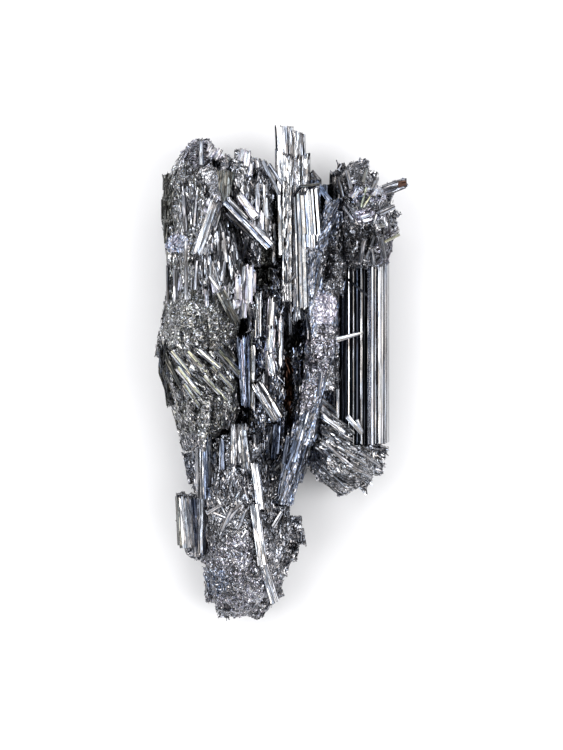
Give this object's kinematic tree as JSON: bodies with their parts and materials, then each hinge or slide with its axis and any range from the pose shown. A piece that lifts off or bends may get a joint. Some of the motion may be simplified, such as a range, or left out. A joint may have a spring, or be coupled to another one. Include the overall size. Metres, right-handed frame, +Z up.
{
  "type": "stibnite crystal spray",
  "caption": "Cluster of long striated metallic prisms and laths grown together side by side, lying flat, with a spear standing out of the top and a needle crust at the ends.",
  "frame": {"origin": "middle of the underside, where the cluster lies on its surface", "axes": "+Y along the long crystals towards the tip of the spear, +Z up from the surface, +X towards the big single prism"},
  "size_m": [0.0559, 0.1099, 0.0304],
  "materials": {
    "bright_facets": "metallic lustre, bright striated facets",
    "lead_grey": "metallic lustre, lead grey",
    "blued_grey": "metallic lustre, bluish steel grey",
    "tarnished_grey": "metallic lustre, olive-grey tarnish"
  },
  "bodies": {
    "root": {"left_bundle": "tarnished_grey", "upper_columns": "lead_grey", "centre_spear": "bright_facets", "front_prism": "bright_facets", "diagonal_blade": "lead_grey", "centre_columns": "blued_grey", "blue_prism": "blued_grey", "cross_lath": "bright_facets", "right_prism": "blued_grey", "right_crown": "lead_grey", "right_foot": "lead_grey", "lower_trunk": "lead_grey", "lower_lath": "bright_facets", "foot_stub": "lead_grey"}
  },
  "joints": []
}
